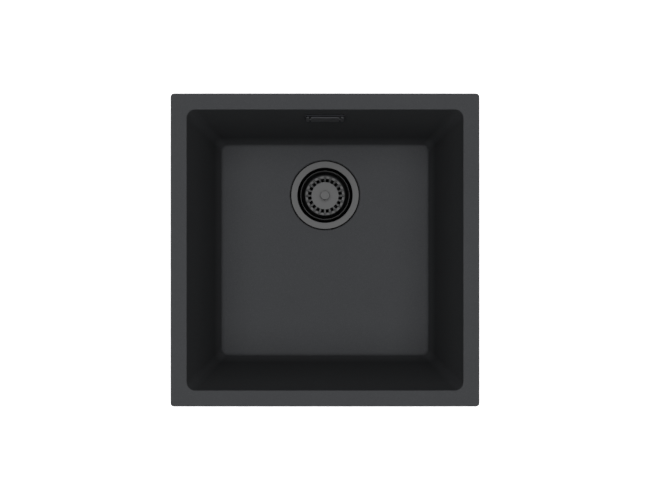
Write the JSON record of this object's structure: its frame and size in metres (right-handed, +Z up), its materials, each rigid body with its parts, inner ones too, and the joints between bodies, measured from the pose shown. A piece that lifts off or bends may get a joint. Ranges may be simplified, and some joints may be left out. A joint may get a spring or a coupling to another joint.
{
  "type": "undermount kitchen sink",
  "caption": "Square stone-composite undermount kitchen sink with flat rim, tapered bowl, lift-out basket strainer waste and covered back-wall overflow piped to the waste.",
  "frame": {"origin": "centre of the bowl opening, in the plane of the rim's top face, which meets the worktop's underside", "axes": "+Z up out of the bowl, +Y to the back where the drain and the overflow are, +X to the right"},
  "size_m": [0.44, 0.4552, 0.2971],
  "materials": {
    "composite": "fine matt grain",
    "dark_steel": "dark satin coated",
    "bright_steel": "turned stainless",
    "brass": "machined",
    "black_plastic": "moulded",
    "cover_plastic": "moulded, satin",
    "hose_plastic": "moulded, satin",
    "rubber": "matt"
  },
  "bodies": {
    "sink": {"sink_bowl": "composite", "strainer_cup": "dark_steel", "strainer_gasket": "rubber", "body_gasket": "rubber", "waste_body": "black_plastic", "outlet_funnel": "black_plastic", "clamp_screw": "bright_steel", "clamp_washer": "bright_steel", "clamp_nut": "brass", "overflow_front_gasket": "rubber", "overflow_rear_gasket": "rubber", "overflow_frame": "black_plastic", "overflow_screw": "bright_steel", "overflow_elbow": "black_plastic", "overflow_hose": "hose_plastic", "hose_seal_upper": "rubber", "hose_seal_lower": "rubber", "hose_nut_upper": "hose_plastic", "hose_nut_lower": "hose_plastic"},
    "basket": {"basket": "dark_steel", "basket_seal": "rubber", "basket_knob": "dark_steel", "basket_stem": "bright_steel", "stem_ring": "rubber"},
    "overflow_cover": {"overflow_cover": "cover_plastic"}
  },
  "joints": [
    {"name": "basket_lift", "type": "slide", "parent": "sink", "child": "basket", "axis": [0, 0, 1], "range_m": [0, 0.26]},
    {"name": "cover_pull", "type": "slide", "parent": "sink", "child": "overflow_cover", "axis": [0, -0.9925, 0.1219], "range_m": [0, 0.05]}
  ]
}
